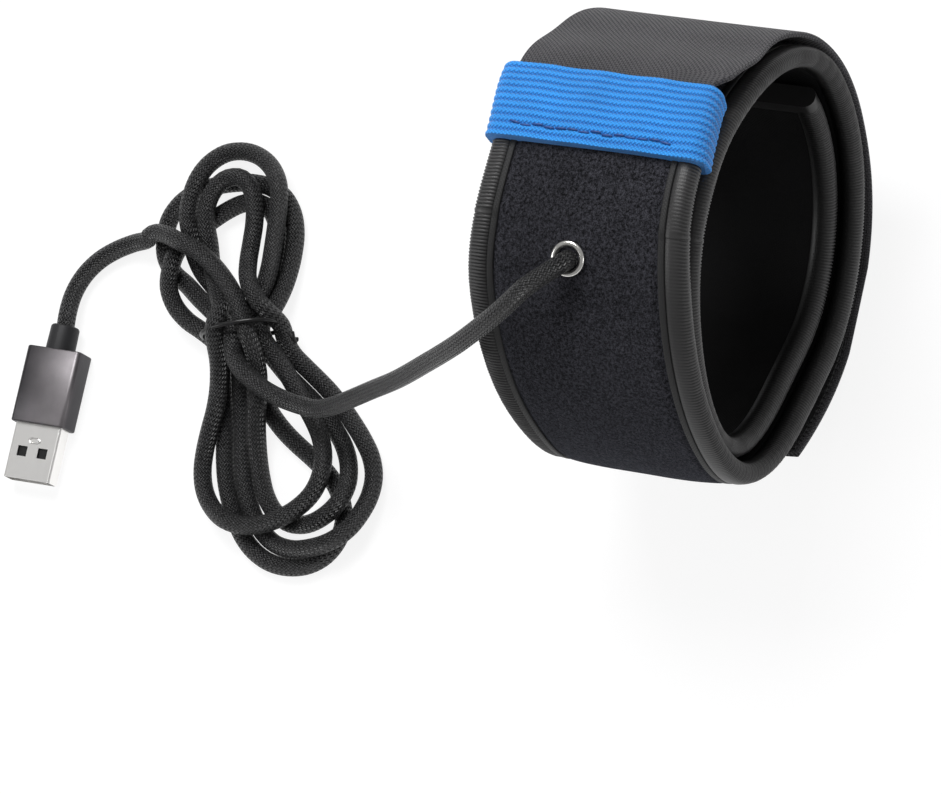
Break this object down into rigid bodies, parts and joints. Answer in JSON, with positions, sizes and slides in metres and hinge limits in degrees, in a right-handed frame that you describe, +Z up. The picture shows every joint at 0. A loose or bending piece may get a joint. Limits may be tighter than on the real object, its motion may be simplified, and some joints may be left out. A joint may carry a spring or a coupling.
{
  "type": "telescope dew heater strip",
  "caption": "Padded heater belt wound into a ring and held by an elastic strap, with a braided lead tied in a hank that ends in a USB plug.",
  "frame": {"origin": "centre of the ring's base, on the surface that it lies on", "axes": "+Z up; Y along the ring's axis, with its front opening toward -Y; the lead's hank and plug lie at +Y"},
  "size_m": [0.1263, 0.1959, 0.1029],
  "materials": {
    "strap_webbing": "woven elastic",
    "binding_tape": "ribbed tape",
    "velour": "short pile",
    "lining": "smooth cloth",
    "foam": "matte",
    "film": "satin",
    "hook_tape": "hooked pile",
    "blue_elastic": "ribbed elastic",
    "blue_thread": "matte",
    "nickel": "polished",
    "copper": "bare wire",
    "black_plastic": "glossy",
    "braid": "braided",
    "anodised": "dark anodised",
    "steel": "bright",
    "gold": "plated",
    "board": "satin"
  },
  "bodies": {
    "root": {"inner_lining": "lining", "heating_film": "film", "foam_core": "foam", "velour_face": "velour", "near_edge_binding": "binding_tape", "far_edge_binding": "binding_tape", "inner_end_binding": "binding_tape", "elastic_strap": "strap_webbing", "hook_patch": "hook_tape", "blue_keeper_loop": "blue_elastic", "keeper_stitching": "blue_thread", "nickel_eyelet": "nickel", "eyelet_washer": "nickel", "near_supply_wire": "copper", "near_wire_sleeve": "black_plastic", "far_supply_wire": "copper", "far_wire_sleeve": "black_plastic", "ring_lead": "braid", "plug_lead": "braid", "cord_hank": "braid", "twist_tie": "black_plastic", "plug_collar": "anodised", "plug_housing": "anodised", "usb_shell": "steel", "usb_tongue": "black_plastic", "contact_1": "gold", "contact_2": "gold", "contact_3": "gold", "contact_4": "gold", "solder_board": "board"}
  },
  "joints": []
}
